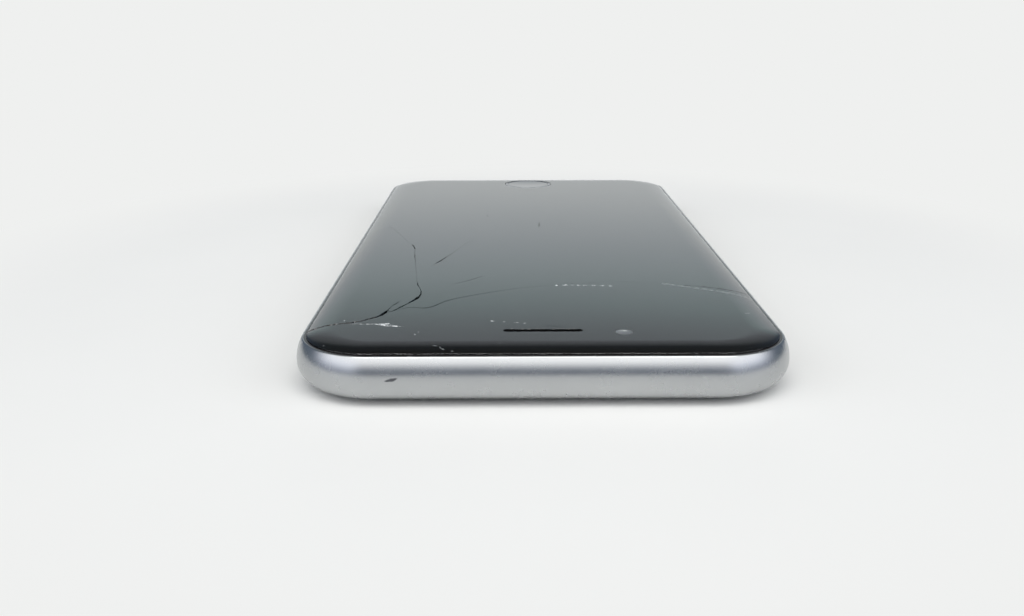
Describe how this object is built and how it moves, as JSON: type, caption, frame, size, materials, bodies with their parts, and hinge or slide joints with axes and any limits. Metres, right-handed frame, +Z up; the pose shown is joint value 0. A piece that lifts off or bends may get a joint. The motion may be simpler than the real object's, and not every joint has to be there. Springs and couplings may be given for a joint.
{
  "type": "smartphone",
  "caption": "Thin slab smartphone lying screen up, its cover glass cracked into shards, with round home button, side buttons and proud rear camera ring",
  "frame": {"origin": "middle of the phone's outline seen from above, at the level of the proud camera ring's rim, the lowest point", "axes": "+Z up through the screen, +Y towards the home button end, +X towards the side with the volume buttons, which is the phone's left"},
  "size_m": [0.0678, 0.1384, 0.0078],
  "materials": {
    "anodised_aluminium": "bead-blasted and anodised, grey",
    "band_plastic": "satin",
    "black_plastic": "satin",
    "cover_glass": "polished, black behind",
    "lcd_stack": "polished, dark",
    "stamped_steel": "satin",
    "flex_film": "amber film",
    "home_button_black": "polished, dished",
    "dark_steel_ring": "polished, dark",
    "black_rubber": "matt",
    "gold_contacts": "gold plated",
    "lens_glass": "polished, dark",
    "flash_lens": "frosted, pale yellow",
    "board_resin": "matt laminate",
    "battery_foil": "matt black foil",
    "pull_tape": "white tape",
    "tungsten": "sintered"
  },
  "bodies": {
    "phone": {"rear_housing": "anodised_aluminium", "antenna_band_top": "band_plastic", "antenna_band_bottom": "band_plastic", "display_bezel": "black_plastic", "glass_top": "cover_glass", "glass_right": "cover_glass", "glass_main": "cover_glass", "glass_sliver": "cover_glass", "lcd_panel": "lcd_stack", "display_shield": "stamped_steel", "earpiece_mesh": "stamped_steel", "earpiece_speaker": "black_plastic", "front_camera": "black_plastic", "proximity_sensor": "black_plastic", "sensor_flex": "flex_film", "home_button_gasket": "black_rubber", "home_button_bracket": "stamped_steel", "home_button_switch": "stamped_steel", "power_button_switch": "black_plastic", "volume_button_switches": "black_plastic", "mute_switch_body": "black_plastic", "sim_reader": "stamped_steel", "camera_ring": "anodised_aluminium", "camera_lens_cover": "lens_glass", "rear_camera_body": "black_plastic", "flash_lens": "flash_lens", "flash_led": "gold_contacts", "rear_microphone": "gold_contacts", "charge_port": "stamped_steel", "charge_port_tongue": "black_plastic", "headphone_jack": "black_plastic", "bottom_microphone": "gold_contacts", "bottom_screw_left": "anodised_aluminium", "bottom_screw_right": "anodised_aluminium", "loudspeaker": "black_plastic", "loudspeaker_mesh": "black_plastic", "logic_board": "board_resin", "board_lower_shield": "stamped_steel", "processor_shield": "stamped_steel", "radio_shield": "stamped_steel", "display_connector_cover": "stamped_steel", "battery": "battery_foil", "battery_tape_right": "pull_tape", "battery_tape_left": "pull_tape", "battery_connector_tab": "flex_film", "dock_flex": "flex_film", "wifi_antenna": "black_plastic", "vibration_motor": "stamped_steel", "motor_cradle": "black_rubber"},
    "power_button": {"power_button": "anodised_aluminium"},
    "volume_up_button": {"volume_up_button": "anodised_aluminium"},
    "volume_down_button": {"volume_down_button": "anodised_aluminium"},
    "home_button": {"home_button": "home_button_black", "home_button_ring": "dark_steel_ring"},
    "mute_switch": {"mute_switch": "anodised_aluminium"},
    "card_tray": {"sim_tray": "anodised_aluminium", "sim_card": "gold_contacts"},
    "focus_barrel": {"camera_focus_barrel": "lens_glass"},
    "motor_rotor": {"motor_shaft": "stamped_steel", "vibration_weight": "tungsten"}
  },
  "joints": [
    {"name": "power_press", "type": "slide", "parent": "phone", "child": "power_button", "axis": [1, 0, 0], "range_m": [0, 0.0003], "stiffness_N_per_m": 5000, "springref_m": -0.0001},
    {"name": "volume_up_press", "type": "slide", "parent": "phone", "child": "volume_up_button", "axis": [-1, 0, 0], "range_m": [0, 0.0003], "stiffness_N_per_m": 5000, "springref_m": -0.0001},
    {"name": "volume_down_press", "type": "slide", "parent": "phone", "child": "volume_down_button", "axis": [-1, 0, 0], "range_m": [0, 0.0003], "stiffness_N_per_m": 5000, "springref_m": -0.0001},
    {"name": "home_press", "type": "slide", "parent": "phone", "child": "home_button", "axis": [0, 0, -1], "range_m": [0, 0.0003], "stiffness_N_per_m": 5000, "springref_m": -0.0001},
    {"name": "mute_slide", "type": "slide", "parent": "phone", "child": "mute_switch", "axis": [0, 0, -1], "range_m": [0, 0.0011]},
    {"name": "tray_slide", "type": "slide", "parent": "phone", "child": "card_tray", "axis": [-1, 0, 0], "range_m": [0, 0.016]},
    {"name": "camera_focus", "type": "slide", "parent": "phone", "child": "focus_barrel", "axis": [0, 0, -1], "range_m": [0, 0.00025], "stiffness_N_per_m": 60, "springref_m": -0.0002},
    {"name": "motor_spin", "type": "hinge", "parent": "phone", "child": "motor_rotor", "pos_m": [-0.02745, 0.04385, 0.00355], "axis": [1, 0, 0], "continuous": true}
  ]
}
